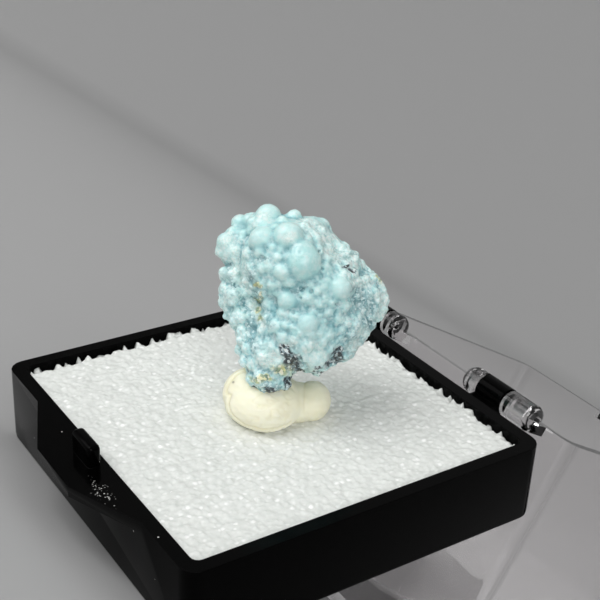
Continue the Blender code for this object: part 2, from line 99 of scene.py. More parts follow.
# Angular chunks of the matrix at the back: right, up, out, radius
MATRIX_CHUNKS = (
    (-0.6, 1.6, -4.2, 4.4),
    (1.6, -1.0, -4.0, 4.0),
    (-2.2, -2.6, -3.6, 3.2),
)
# Lumps of the display side as the photo shows them: right, up, radius
CROWN_DOMES = (
    (0.2, 3.3, 1.75), (0.15, 4.0, 1.33), (-1.0, 5.5, 1.42), (-2.8, 7.35, 1.2), (-3.3, 6.6, 0.95),
    (-5.3, 6.8, 0.85), (-6.5, 5.1, 0.95), (-7.0, 4.3, 0.6), (-5.1, 5.2, 0.6), (-4.6, 4.1, 0.58),
    (-3.3, 5.3, 1.25), (-4.0, 5.0, 0.62), (-2.7, 5.5, 0.53), (-3.5, 4.2, 0.58), (-0.5, 7.4, 0.7),
    (-1.5, 2.5, 0.85), (-0.9, 1.8, 0.71), (-1.6, 7.0, 0.53), (-2.1, 6.4, 0.44), (0.4, 6.5, 0.53),
    (-4.3, 6.1, 0.5), (-6.0, 6.0, 0.6), (-4.3, 6.9, 0.45), (1.7, 4.3, 0.55), (2.0, 2.7, 0.5),
)
MIDDLE_LUMPS = (
    (-1.0, 0.0, 1.02), (0.7, 0.2, 0.58), (-1.7, 0.7, 0.62), (-1.5, -1.2, 0.62), (-0.4, -1.5, 0.62),
    (0.2, -1.0, 0.35), (1.1, -1.0, 0.49), (-2.1, -2.3, 0.71), (0.7, -2.1, 1.0), (0.1, -2.8, 0.58),
    (1.0, -2.9, 0.58), (0.6, -4.0, 0.71), (2.0, -3.7, 0.53), (2.7, -4.2, 0.44), (3.5, -3.3, 0.4),
    (1.4, -5.1, 1.15), (0.5, -4.9, 0.62), (2.2, -5.1, 0.53), (1.1, -5.9, 0.58), (1.9, -5.9, 0.53),
    (-1.6, -3.2, 0.58), (-2.7, -0.4, 0.67), (-3.0, -1.6, 0.44), (-3.4, 2.7, 0.44), (-2.5, 1.4, 0.44),
    (-3.4, 0.7, 0.44),
)
RIGHT_LUMPS = (
    (3.5, 1.0, 1.1), (4.3, 1.2, 0.71), (3.8, 2.0, 0.71), (5.0, 0.4, 0.53), (2.1, 1.1, 0.44),
    (2.4, 1.8, 0.35), (2.5, -1.1, 0.44), (3.3, -1.6, 0.53), (4.1, -1.9, 0.58), (4.9, -2.0, 0.58),
    (2.0, -1.9, 0.44), (1.7, -0.4, 0.44), (3.6, -2.6, 0.53), (2.9, -0.3, 0.44), (4.0, -0.5, 0.53),
    (5.8, 1.7, 0.53), (6.0, 0.4, 0.53), (5.5, -0.7, 0.62), (4.6, -3.0, 0.53), (2.2, 2.8, 0.53),
)
LEFT_LUMPS = (
    (-6.7, 2.4, 0.58), (-6.6, 1.2, 0.53), (-5.8, 1.7, 0.49), (-5.8, 0.5, 0.62), (-6.8, -0.2, 0.53),
    (-6.2, -0.8, 0.58), (-6.5, -1.4, 0.4), (-5.5, -0.5, 0.53), (-5.9, -1.9, 0.44), (-5.1, -2.7, 0.53),
    (-5.3, -3.5, 0.44), (-5.3, -4.4, 0.53), (-4.5, -4.3, 0.71), (-3.7, -4.3, 0.58), (-4.9, -5.4, 0.58),
    (-4.0, -5.7, 0.71), (-3.2, -5.1, 0.71), (-2.5, -4.2, 0.53), (-5.6, 3.4, 0.53), (-5.3, 2.6, 0.4),
    (-4.4, 2.8, 0.4), (-4.8, 1.7, 0.4), (-4.3, 0.7, 0.4), (-4.4, -0.4, 0.45), (-3.9, -1.2, 0.4),
    (-4.2, -2.2, 0.4), (-3.4, -2.8, 0.5), (-2.8, -3.5, 0.4),
)
RIM_LUMPS = (
    (0.6, 6.8, 0.5), (1.3, 6.6, 0.5), (1.9, 6.1, 0.5), (2.5, 5.6, 0.48), (3.1, 5.1, 0.48),
    (3.7, 4.6, 0.45), (4.3, 4.1, 0.45), (4.9, 3.6, 0.45), (5.5, 3.1, 0.45), (6.0, 2.5, 0.48),
    (6.5, 1.9, 0.5), (7.0, 1.4, 0.5), (7.3, 0.7, 0.48), (7.6, 0.0, 0.48), (7.4, -0.8, 0.48),
    (6.9, -1.5, 0.5), (6.3, -2.2, 0.5), (5.8, -2.9, 0.48), (5.2, -3.7, 0.5), (4.6, -4.4, 0.5),
    (3.8, -5.0, 0.5), (3.0, -5.5, 0.45), (2.3, -5.8, 0.4),
)
FOOT_LUMPS = (
    (-3.4, -7.0, 0.8), (-2.5, -7.6, 0.71), (-1.3, -7.5, 0.62), (-4.3, -7.1, 0.53), (-1.2, -6.4, 0.53),
    (-1.8, -5.5, 0.53),
)
PLACED_LUMPS = CROWN_DOMES + MIDDLE_LUMPS + RIGHT_LUMPS + LEFT_LUMPS + RIM_LUMPS + FOOT_LUMPS
LUMP_SINK = 0.45
DOME_SINK = 0.38
DOME_RADIUS = 0.75

# Lumps that close the gaps between the placed ones, on a jittered lattice
FILL_SPACING = 0.86
FILL_JITTER = 0.22
FILL_RADII = (0.36, 0.6)
FILL_CLEAR = 0.62
FILL_SINK = 0.45
FILL_REACH = 9.0
FILL_ROW = 0.87
FILL_SEED = 5

# Smaller lumps that cover the sides and the back
BACK_LUMP_COUNT = 150
BACK_LUMP_RADII = (0.45, 1.05)
BACK_MIDDLE = (-0.5, 0.0, -1.5)
BACK_JITTER = 0.1
BACK_START = 20.0
BACK_FACING = 0.12
BACK_SINK = 0.55
BACK_SEED = 11

# The skin over the lumps: its mesh size, and how often its points are evened out
STONE_VOXEL = 0.105
STONE_BLEND = 7
DOME_SHARPNESS = 9.0

# Relief of the skin: cell sizes and heights of its bumps, and depths of its hollows
MEDIUM_CELL, MEDIUM_HEIGHT = 0.95, 0.11
SMALL_CELL, SMALL_HEIGHT, EDGE_HEIGHT = 0.42, 0.05, 0.045
GRAIN_CELL, GRAIN_HEIGHT, FINE_HEIGHT = 0.27, 0.11, 0.02
DARK_DEPTH = 0.08
PIT_DEPTH = 0.28
RING_HEIGHT = 0.008
DIMPLE_DEPTH = 0.05

# Where each zone of the specimen starts and is full
DISPLAY_ZONE = (-4.5, -3.0)
LEFT_ZONE = (-2.8, -4.4)
RIGHT_ZONE = (2.6, 4.6)
FOOT_ZONE = (-4.8, -6.0)
CROWN_UP = (0.5, 3.0)
CROWN_RIGHT = (3.0, 0.5)

# Putty lobes in the tray's axes: centre and half sizes, turned about the upward axis
TACK_TURN = 56.6
TACK_LOBES = (
    ((1.2, -0.8, 1.1), (3.7, 3.5, 2.45)),
    ((2.85, 3.15, 0.9), (1.75, 2.2, 1.75)),
    ((-1.2, 0.6, 0.7), (2.6, 2.4, 1.9)),
    ((2.38, 1.88, 0.85), (1.9, 2.3, 1.75)),
    ((-0.34, -1.69, 1.3), (2.3, 2.4, 2.5)),
)
TACK_VOXEL = 0.12
TACK_BLEND = 3
TACK_SUNK = 0.12
TACK_RIM_RISE = 0.75
TACK_RIM_END = (-1.1, -0.3)
TACK_RIM_WIDTH = 0.12
TACK_CREASE = 0.41
TACK_FOLDS = (-5.5, -3.5)
TACK_SPECK = (-5.94, -7.27)

FOAM_STEP = 0.15
FOAM_SIDE_GAP = 0.05
FOAM_FLOOR_GAP = 0.02
FOAM_LUMPS = ((0.62, 0.15, 44), (0.4, 0.09, 48))
FOAM_TORN = (0.1, 0.9)
FOAM_TOP_DROP = 0.22

# Edges of the moulded pieces
TRAY_EDGE = 0.14
LID_EDGE = 0.12
BEVEL_ANGLE = 50
SHARP_ANGLE = 40


def tray_to_world():
    """The turn and shift from the tray's axes, in millimetres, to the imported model, in metres."""
    mount = next(m for m in frame["record"]["mounts"] if m["name"] == "lid_top")
    lean = math.atan2(mount["axis"][1], -mount["axis"][2])
    tilt = math.radians(LID_OPEN - 180.0) + lean
    turn = Matrix.Rotation(tilt, 4, "X") @ Matrix.Scale(MM, 4)
    hinge = Vector(frame["joints"][0]["pos_m"])
    shift = hinge - turn @ Vector((0.0, HINGE_Y, 0.0))
    return Matrix.Translation(shift) @ turn


TO_WORLD = tray_to_world()


def roll_axes(out, roll):
    """Right and up for a view whose outward direction and roll are given."""
    level = Vector((0, 0, 1)).cross(out).normalized()
    right = Matrix.Rotation(math.radians(roll), 3, out) @ level
    return right, out.cross(right)


FACE_OUT = (EYE - FACE_CENTRE).normalized()
FACE_RIGHT, FACE_UP = roll_axes(FACE_OUT, CAMERA_ROLL)
FACE_TURN = Matrix((FACE_RIGHT, FACE_UP, FACE_OUT)).transposed()
FACE_DISTANCE = (EYE - FACE_CENTRE).length


def lattice_random(cells, seed):
    """One repeatable random value from -1 to 1 for each lattice cell."""
    mixed = cells[:, 0] * 73856093 ^ cells[:, 1] * 19349663 ^ cells[:, 2] * 83492791
    mixed = (mixed ^ seed * 2654435761) & 0xFFFFFFFF
    mixed = (mixed ^ mixed >> 15) * 2246822519 & 0xFFFFFFFF
    mixed = (mixed ^ mixed >> 13) * 3266489917 & 0xFFFFFFFF
    return ((mixed ^ mixed >> 16) & 0xFFFF) / 32767.5 - 1.0


def smooth_noise(points, cell, seed):
    """Smooth random values from -1 to 1 at points in millimetres, one for each cell of a lattice."""
    scaled = points / cell
    base = np.floor(scaled).astype(np.int64)
    part = scaled - base
    fade = part * part * (3.0 - 2.0 * part)
    total = np.zeros(len(points))
    for corner in range(8):
        offset = np.array((corner & 1, corner >> 1 & 1, corner >> 2 & 1))
        weight = np.prod(np.where(offset, fade, 1.0 - fade), axis=1)
        total += lattice_random(base + offset, seed) * weight
    return total


def dome_bumps(points, cell, seed):
    """Packed small domes of varied size, softly joined: about 0 in the creases and 1 on the highest."""
    scaled = points / cell
    base = np.floor(scaled).astype(np.int64)
    total = np.zeros(len(points))
    for offset in np.ndindex(3, 3, 3):
        near = base + np.array(offset) - 1
        jitter = np.stack([lattice_random(near, seed + axis) for axis in range(3)], axis=1)
        reach = 0.72 + 0.2 * lattice_random(near, seed + 3)
        distance = ((near + 0.5 + 0.4 * jitter - scaled) ** 2).sum(axis=1)
        total += np.exp(DOME_SHARPNESS * (1.0 - distance / reach ** 2))
    return np.maximum(np.log(total) / DOME_SHARPNESS, 0.0)


def step_between(low, high, value):
    """A smooth step from 0 at low to 1 at high."""
    ratio = np.clip((value - low) / (high - low), 0.0, 1.0)
    return ratio * ratio * (3.0 - 2.0 * ratio)


def new_mesh_object(name, points, faces, material):
    """A mesh object from points in the tray's axes."""
    mesh = bpy.data.meshes.new(name)
    mesh.from_pydata([tuple(p) for p in points], [], [tuple(f) for f in faces])
    mesh.transform(TO_WORLD)
    mesh.update()
    item = bpy.data.objects.new(name, mesh)
    bpy.context.scene.collection.objects.link(item)
    mesh.materials.append(material)
    return item


def unit_ball(detail):
    """Points and faces of a ball of radius 1."""
    work = bmesh.new()
    bmesh.ops.create_icosphere(work, subdivisions=detail, radius=1.0)
    points = np.array([vert.co[:] for vert in work.verts])
    faces = np.array([[vert.index for vert in face.verts] for face in work.faces])
    work.free()
    return points, faces


def fused_balls(name, balls, voxel):
    """One skin around overlapping ellipsoids, given as centre, radii, turn and detail. Points and quads."""
    shapes = {detail: unit_ball(detail) for detail in {ball[3] for ball in balls}}
    points, faces, count = [], [], 0
    for centre, radii, turn, detail in balls:
        ball_points, ball_faces = shapes[detail]
        points.append((ball_points * radii) @ np.array(turn).T + np.array(centre))
        faces.append(ball_faces + count)
        count += len(ball_points)
    mesh = bpy.data.meshes.new(name)
    mesh.from_pydata(np.concatenate(points).tolist(), [], np.concatenate(faces).tolist())
    item = bpy.data.objects.new(name, mesh)
    bpy.context.scene.collection.objects.link(item)
    fuse = item.modifiers.new("fuse", "REMESH")
    fuse.mode = "VOXEL"
    fuse.voxel_size = voxel
    graph = bpy.context.evaluated_depsgraph_get()
    skin = item.evaluated_get(graph).to_mesh()
    skin_points = np.empty(len(skin.vertices) * 3)
    skin.vertices.foreach_get("co", skin_points)
    skin_faces = np.array([poly.vertices[:] for poly in skin.polygons])
    bpy.data.objects.remove(item)
    return skin_points.reshape(-1, 3), skin_faces


def face_normals_at_points(points, faces):
    """The outward direction at each point of a quad mesh."""
    corners = points[faces]
    across = np.cross(corners[:, 2] - corners[:, 0], corners[:, 3] - corners[:, 1])
    normals = np.zeros_like(points)
    for axis in range(3):
        for corner in range(4):
            normals[:, axis] += np.bincount(faces[:, corner], across[:, axis], len(points))
    return normals / np.maximum(np.linalg.norm(normals, axis=1), 1e-12)[:, None]


def relaxed(points, faces, rounds):
    """The points after each has moved to the middle of its neighbours a number of times."""
    ends = np.concatenate([faces[:, (i, (i + 1) % 4)] for i in range(4)])
    degree = np.maximum(np.bincount(ends[:, 0], minlength=len(points)), 1)
    moved = points.copy()
    for _ in range(rounds):
        sums = [np.bincount(ends[:, 0], moved[ends[:, 1], axis], len(points)) for axis in range(3)]
        moved = np.stack([total / degree for total in sums], axis=1)
    return moved


def face_point(right, up, out):
    """The place seen at (right, up) from the eye, moved out of the face plane along the line of sight."""
    on_plane = FACE_CENTRE + right * FACE_RIGHT + up * FACE_UP
    return on_plane + (EYE - on_plane) * (out / FACE_DISTANCE)


def first_hit(start, direction):
    """Where a line first meets the main masses, and the outward direction there."""
    best = None
    inverse = FACE_TURN.transposed()
    for right, up, out, *radii in MASSES:
        centre = face_point(right, up, out)
        local_start = Vector(a / r for a, r in zip(inverse @ (start - centre), radii))
        local_way = Vector(a / r for a, r in zip(inverse @ direction, radii))
        a, b, c = local_way.length_squared, local_start.dot(local_way), local_start.length_squared - 1.0
        root = b * b - a * c
        if root < 0:
            continue
        distance = (-b - math.sqrt(root)) / a
        if best is None or distance < best[0]:
            local = local_start + local_way * distance
            outward = FACE_TURN @ Vector(value / r for value, r in zip(local, radii))
            best = (distance, outward.normalized())
    if best is None:
        return None
    return start + direction * best[0], best[1]


def nearest_mass_out(right, up):
    """How far out the closest mass lies, for a lump that stands past the edge of them all."""
    closest = min(MASSES, key=lambda mass: math.hypot(right - mass[0], up - mass[1]) - mass[3])
    return closest[2]


def place_lump(right, up, radius):
    """A display lump's centre, sunk a little into the masses behind it."""
    way = (face_point(right, up, 0.0) - EYE).normalized()
    hit = first_hit(EYE, way)
    if hit is None:
        return face_point(right, up, nearest_mass_out(right, up))
    sink = DOME_SINK if radius > DOME_RADIUS else LUMP_SINK
    return hit[0] + way * radius * sink


def back_lumps():
    """Smaller lumps on the sides and back, spaced evenly and varied by a seeded draw."""
    draw = random.Random(BACK_SEED)
    middle = face_point(*BACK_MIDDLE)
    golden = math.pi * (3.0 - math.sqrt(5.0))
    for index in range(BACK_LUMP_COUNT * 2):
        height = 1.0 - 2.0 * (index + 0.5) / (BACK_LUMP_COUNT * 2)
        ring = math.sqrt(1.0 - height * height)
        spread = Vector((ring * math.cos(index * golden), height, ring * math.sin(index * golden)))
        radius = draw.uniform(*BACK_LUMP_RADII)
        jitter = Vector([draw.uniform(-BACK_JITTER, BACK_JITTER) for _ in range(3)])
        way = (FACE_TURN @ (spread + jitter)).normalized()
        hit = first_hit(middle + way * BACK_START, -way)
        if hit and hit[1].dot(FACE_OUT) < BACK_FACING:
            yield hit[0] - hit[1] * radius * BACK_SINK, radius


def fill_lumps():
    """Lumps that close the gaps between the placed ones on the display side."""
    draw = random.Random(FILL_SEED)
    rows = int(FILL_REACH / FILL_SPACING) + 1
    for row in range(-rows, rows + 1):
        for column in range(-rows, rows + 1):
            right = (column + 0.5 * (row % 2)) * FILL_SPACING + draw.uniform(-FILL_JITTER, FILL_JITTER)
            up = row * FILL_SPACING * FILL_ROW + draw.uniform(-FILL_JITTER, FILL_JITTER)
            radius = draw.uniform(*FILL_RADII)
            if any(
                math.hypot(right - placed[0], up - placed[1]) < FILL_CLEAR * (placed[2] + radius)
                for placed in PLACED_LUMPS
            ):
                continue
            way = (face_point(right, up, 0.0) - EYE).normalized()
            hit = first_hit(EYE, way)
            if hit:
                yield hit[0] + way * radius * FILL_SINK, radius


def stone_balls():
    """Every ball of the specimen: masses, placed lumps, fillers, back lumps and matrix."""
    plain = Matrix.Identity(3)
    balls = [(face_point(*mass[:3]), mass[3:], FACE_TURN, 5) for mass in MASSES]
    for right, up, radius in PLACED_LUMPS:
        balls.append((place_lump(right, up, radius), (radius,) * 3, plain, 4))
    for centre, radius in fill_lumps():
        balls.append((centre, (radius,) * 3, plain, 3))
    for centre, radius in back_lumps():
        balls.append((centre, (radius,) * 3, plain, 3))
    for index, (right, up, out, radius) in enumerate(MATRIX_CHUNKS):
        turn = Matrix.Rotation(0.7 + 1.1 * index, 3, Vector((0.3, 1.0, 0.2 * index)).normalized())
        balls.append((face_point(right, up, out), (radius,) * 3, turn, 1))
    return balls


# Marks on the specimen, on the plane that faces the display side: right, up, half width, half height
DARK_PATCHES = (
    (-1.3, -4.4, 0.5, 0.6), (-0.7, -5.2, 0.7, 0.8), (-0.15, -6.1, 0.4, 0.9), (-1.0, -7.2, 0.55, 0.65),
    (3.5, -4.9, 0.45, 0.7), (3.0, -5.6, 0.8, 0.5), (2.0, -6.4, 0.8, 0.25), (-2.1, -8.15, 1.3, 0.4),
    (-3.9, -7.9, 0.3, 0.2), (4.3, 3.05, 0.3, 0.15), (4.7, 2.75, 0.3, 0.17),
)
BLUE_GREY_STAIN_AND_SHADE_PATCHES = (
    (5.85, -0.2, 0.9, 1.1), (5.2, 1.0, 0.6, 0.4), (4.1, 4.0, 0.7, 0.4), (-4.4, -2.0, 0.35, 1.6),
    (-4.0, -4.0, 0.3, 0.6), (-4.3, 2.2, 0.35, 0.8), (-3.4, 3.65, 0.45, 0.25), (0.0, 0.95, 0.7, 0.2),
    (-6.1, 3.05, 0.3, 0.3), (-5.8, 1.4, 0.3, 0.3), (1.8, 4.4, 0.12, 0.3), (4.6, -3.1, 0.8, 0.25),
    (-0.3, -7.3, 0.5, 0.9), (-2.4, -7.9, 1.7, 0.45), (-0.9, -4.2, 0.6, 0.5),
    # The last patch of this row, on the lower right edge, is painted shade, not a stain
    (2.9, -5.0, 0.5, 0.4), (6.2, -2.2, 0.7, 0.7), (4.9, -4.2, 1.1, 0.7),
)
OCHRE_PATCHES = (
    (-1.7, -6.1, 0.75, 0.5), (-3.4, -7.05, 0.9, 0.3), (-3.9, 1.2, 0.3, 0.3), (-3.6, 0.2, 0.25, 0.3),
    (-3.8, -0.8, 0.3, 0.35), (-3.6, -1.6, 0.22, 0.3),
    (7.1, 1.8, 0.3, 0.3), (-0.7, -5.9, 0.4, 0.3),
)
FROST_PATCHES = (
    (0.6, 6.8, 1.2, 0.4), (1.5, 6.2, 1.0, 0.6), (2.6, 5.4, 0.9, 0.7), (2.7, 4.3, 0.7, 0.6),
    (3.7, 4.2, 0.9, 0.7), (4.8, 3.3, 0.9, 0.6), (5.4, 1.5, 0.8, 0.5), (7.5, 0.3, 0.6, 1.3),
    (7.3, -1.6, 0.6, 1.0), (6.1, -2.9, 1.0, 0.5), (4.9, -4.2, 0.8, 0.5), (-1.0, 5.6, 0.8, 0.5),
    (-3.1, 7.4, 0.7, 0.5), (-0.9, -3.9, 0.7, 0.5), (-2.6, -5.2, 1.2, 0.8), (1.2, -4.8, 1.0, 1.0),
    (-6.4, 5.0, 0.8, 0.8),
)
# Patches that make the painted crease shade paler or deeper over whole areas: right, up, half width, half height
PALER_SHADE_PATCHES = (
    (-6.2, 1.0, 1.0, 3.5), (-5.6, -3.0, 0.9, 2.0), (3.9, 1.3, 1.1, 1.2), (0.9, -2.6, 1.3, 1.2),
    (1.2, -4.9, 1.2, 1.2), (-5.1, 2.3, 0.7, 1.0), (2.6, 5.2, 1.4, 0.9), (-3.4, 6.8, 1.0, 1.2),
    (-0.9, 6.0, 0.9, 0.9), (-3.6, -5.0, 1.0, 1.2),
)
DEEPER_SHADE_PATCHES = (
    (0.2, 3.3, 1.6, 1.6), (-6.4, 4.9, 0.9, 0.9), (-1.0, 0.0, 1.0, 0.9), (4.9, -4.4, 1.2, 0.8),
    (7.0, 0.0, 0.8, 1.4), (-3.6, 4.6, 0.9, 0.7), (0.3, 0.6, 1.5, 0.5),
)

# Small open pits: right, up, radius
PITS = (
    (-6.0, 3.05, 0.2), (-5.75, 1.35, 0.17), (-3.3, 3.65, 0.22), (1.82, 4.35, 0.12), (2.05, 2.75, 0.12),
    (3.35, -0.45, 0.16), (-0.6, -1.1, 0.14), (0.05, 0.15, 0.1), (0.15, 0.95, 0.2), (1.0, 0.75, 0.14),
)
# Smooth domes, which carry few small bumps: right, up, half width, half height
SMOOTH_PATCHES = (
    (0.15, 3.9, 1.5, 1.4), (0.2, 2.8, 1.5, 1.2), (-0.9, 5.7, 1.5, 1.4), (-2.7, 7.3, 1.2, 1.1),
    (-5.2, 6.6, 0.95, 0.9), (-6.6, 5.0, 0.9, 1.0), (-1.0, 0.0, 1.0, 0.9), (3.5, 1.0, 1.1, 1.0),
    (1.4, -5.0, 0.9, 0.9), (-3.2, 5.4, 1.4, 1.4), (0.7, -2.1, 0.8, 0.8),
)

# The rough valley beside the left strip, and the growth rings on the main dome
VALLEY = ((-5.76, 4.44), (-5.64, 2.8), (-4.95, 1.2), (-3.8, -1.1), (-3.45, -2.3))
VALLEY_HALF_WIDTH = 0.32
DIMPLE = (0.0, 4.26)
DIMPLE_RADIUS = 0.13
RING_SPACING = 0.34
RING_REACH = 1.25


def patch_mask(right, up, patches, blur):
    """How far each point lies in any of a set of oval patches, from 0 to 1."""
    mask = np.zeros(len(right))
    for centre_right, centre_up, half_width, half_height in patches:
        reach = np.hypot((right - centre_right) / half_width, (up - centre_up) / half_height)
        mask = np.maximum(mask, 1.0 - step_between(1.0 - blur, 1.0 + blur, reach))
    return mask


def pit_mask(right, up):
    """How deep each point lies in the small open pits of the display side, from 0 to 1."""
    depth = np.zeros(len(right))
    for centre_right, centre_up, radius in PITS:
        reach = np.hypot(right - centre_right, up - centre_up) / radius
        depth = np.maximum(depth, np.exp(-(reach ** 2)))
    return depth


def valley_mask(right, up):
    """How close each point lies to the rough valley beside the left strip."""
    place = np.stack([right, up], axis=1)
    nearest = np.full(len(right), 99.0)
    for start, end in zip(VALLEY, VALLEY[1:]):
        start, way = np.array(start), np.array(end) - np.array(start)
        along = np.clip(((place - start) @ way) / (way @ way), 0.0, 1.0)
        nearest = np.minimum(nearest, np.linalg.norm(place - start - along[:, None] * way, axis=1))
    return 1.0 - step_between(0.5 * VALLEY_HALF_WIDTH, 1.6 * VALLEY_HALF_WIDTH, nearest)


def face_coordinates(points):
    """Right, up and out of points in the tray's axes, as seen from the eye."""
    ray = points - np.array(EYE)
    depth = -(ray @ np.array(FACE_OUT))
    on_plane = np.array(EYE) + ray * (FACE_DISTANCE / depth)[:, None] - np.array(FACE_CENTRE)
    return on_plane @ np.array(FACE_RIGHT), on_plane @ np.array(FACE_UP), FACE_DISTANCE - depth


def stone_marks(points, normals):
    """Where the dark matrix, the ochre crystals, the frosted crust and the grey stain lie; one grey patch, on the
    lower right edge, is painted shade.
    """
    right, up, out = face_coordinates(points)
    wobble_right = right + 0.35 * smooth_noise(points, 0.7, 3) + 0.15 * smooth_noise(points, 0.3, 4)
    wobble_up = up + 0.35 * smooth_noise(points, 0.7, 5) + 0.15 * smooth_noise(points, 0.3, 6)
    front = step_between(*DISPLAY_ZONE, out)
    dark = patch_mask(wobble_right, wobble_up, DARK_PATCHES, 0.22) * front
    back = step_between(0.25, 0.6, -(normals @ np.array(FACE_OUT))) * step_between(-4.6, -6.0, out)
    dark = np.maximum(dark, back * step_between(-0.2, 0.25, smooth_noise(points, 2.2, 8) + 0.25))
    grey = patch_mask(wobble_right, wobble_up, BLUE_GREY_STAIN_AND_SHADE_PATCHES, 0.5) * front
    ochre = patch_mask(wobble_right, wobble_up, OCHRE_PATCHES, 0.45) * front
    frost = patch_mask(wobble_right, wobble_up, FROST_PATCHES, 0.5) * front
    valley = valley_mask(wobble_right, wobble_up) * front
    frost = np.maximum(frost, np.clip(1.4 * valley, 0.0, 1.0))
    flank = valley_mask(wobble_right + 0.75, wobble_up) + valley_mask(wobble_right - 0.7, wobble_up)
    flank = 0.5 * np.clip(flank, 0.0, 1.0) * (1.0 - valley) * step_between(3.4, 2.0, up)
    grey = np.maximum(grey, flank * front)
    return dark, ochre, frost, grey


def add_point_colour(item, name, channels):
    """Store up to four values at each point, for the material to read."""
    layer = item.data.attributes.new(name, "FLOAT_COLOR", "POINT")
    values = np.ones((len(item.data.vertices), 4), np.float32)
    for index, channel in enumerate(channels):
        values[:, index] = channel
    layer.data.foreach_set("color", values.ravel())


def finish_smooth(item):
    """Shade an organic piece smooth."""
    item.data.shade_smooth()
    return item


def dome_rings(right, up):
    """Faint growth rings on the main dome, and the dimple at their middle."""
    reach = np.hypot(right - DIMPLE[0], up - DIMPLE[1])
    fade = 1.0 - step_between(0.5 * RING_REACH, RING_REACH, reach)
    ring = np.cos(reach * (2.0 * math.pi / RING_SPACING)) * fade
    return ring, np.exp(-((reach / DIMPLE_RADIUS) ** 2))


def crust_zones(right, up, out):
    """How much each point belongs to the smooth domes, the rough outer zones and the crown."""
    smooth = patch_mask(right, up, SMOOTH_PATCHES, 0.35) * step_between(*DISPLAY_ZONE, out)
    edges = step_between(*LEFT_ZONE, right) + step_between(*RIGHT_ZONE, right) + step_between(*FOOT_ZONE, up)
    crown = step_between(*CROWN_UP, up) * step_between(*CROWN_RIGHT, right)
    return smooth, np.clip(edges, 0.0, 1.0), crown


def crust_lift(points, marks, zones):
    """How far the bumps and grains of the crust lift each point, in millimetres."""
    dark, ochre, frost, grey = marks
    smooth, edges, crown = zones
    rough = np.clip(dark + 0.5 * frost + 0.6 * ochre + 0.6 * grey, 0.0, 1.0)
    medium = MEDIUM_HEIGHT * (1.0 - 0.92 * smooth) * (1.0 - 0.5 * rough) * (1.0 - 0.4 * crown)
    small = (SMALL_HEIGHT + EDGE_HEIGHT * edges) * (1.0 - 0.85 * smooth) * (1.0 - 0.35 * crown)
    grains = GRAIN_HEIGHT * np.clip(ochre + 0.6 * dark + 0.35 * frost + 0.35 * grey, 0.0, 1.0)
    grains += FINE_HEIGHT * (1.0 - smooth)
    lift = np.zeros(len(points))
    for height, cell, seed in ((medium, MEDIUM_CELL, 21), (small, SMALL_CELL, 22), (grains, GRAIN_CELL, 27)):
        lift += height * (dome_bumps(points, cell, seed) - 0.5)
    lift += 0.03 * rough * smooth_noise(points, 0.26, 14) + 0.012 * smooth_noise(points, 0.24, 13)
    return lift - DARK_DEPTH * dark


def build_stone(material):
    """The gibbsite specimen: fused lumps, covered in small rounded bumps and broken crust."""
    points, faces = fused_balls("stone_source", stone_balls(), STONE_VOXEL)
    points = relaxed(points, faces, STONE_BLEND)
    normals = face_normals_at_points(points, faces)
    marks = stone_marks(points, normals)
    dark, ochre, frost, grey = marks
    right, up, out = face_coordinates(points)
    front = step_between(*DISPLAY_ZONE, out)
    zones = crust_zones(right, up, out)
    smooth, edges, _ = zones
    pits = pit_mask(right, up) * front
    ring, dimple = dome_rings(right, up)
    lift = crust_lift(points, marks, zones) - PIT_DEPTH * pits + RING_HEIGHT * ring - DIMPLE_DEPTH * dimple
    points = points + normals * lift[:, None]
    normals = face_normals_at_points(points, faces)
    # Painted shade and highlight: a crease value, deep teal in hollows and pale on rounded tops, shifted by the
    # paler and deeper shade patches
    near = np.einsum("ij,ij->i", normals, relaxed(points, faces, 5) - points)
    wide = np.einsum("ij,ij->i", normals, relaxed(points, faces, 60) - points)
    tone = 0.15 * patch_mask(right, up, DEEPER_SHADE_PATCHES, 0.5) - 0.2 * patch_mask(right, up, PALER_SHADE_PATCHES, 0.5)
    shaded_crease = np.clip(0.5 + 5.0 * near + 1.9 * wide + tone * front, 0.0, 1.0)
    item = new_mesh_object("gibbsite_stone", points, faces, material)
    frost = np.clip(frost + 0.12 * np.maximum(ring, 0.0), 0.0, 1.0)
    add_point_colour(item, "marks", (dark, ochre, frost))
    sugar = np.clip((1.0 - smooth) * (0.4 + 0.6 * edges) + 0.6 * frost, 0.0, 1.0)
    # First value: painted shade in creases and pits, painted highlight on tops; then grey stain, a bluish tint
    # towards the bottom and grit
    add_point_colour(item, "shade_and_grit", (np.maximum(shaded_crease, pits), grey, step_between(3.0, -4.0, up), sugar))
    return finish_smooth(item)


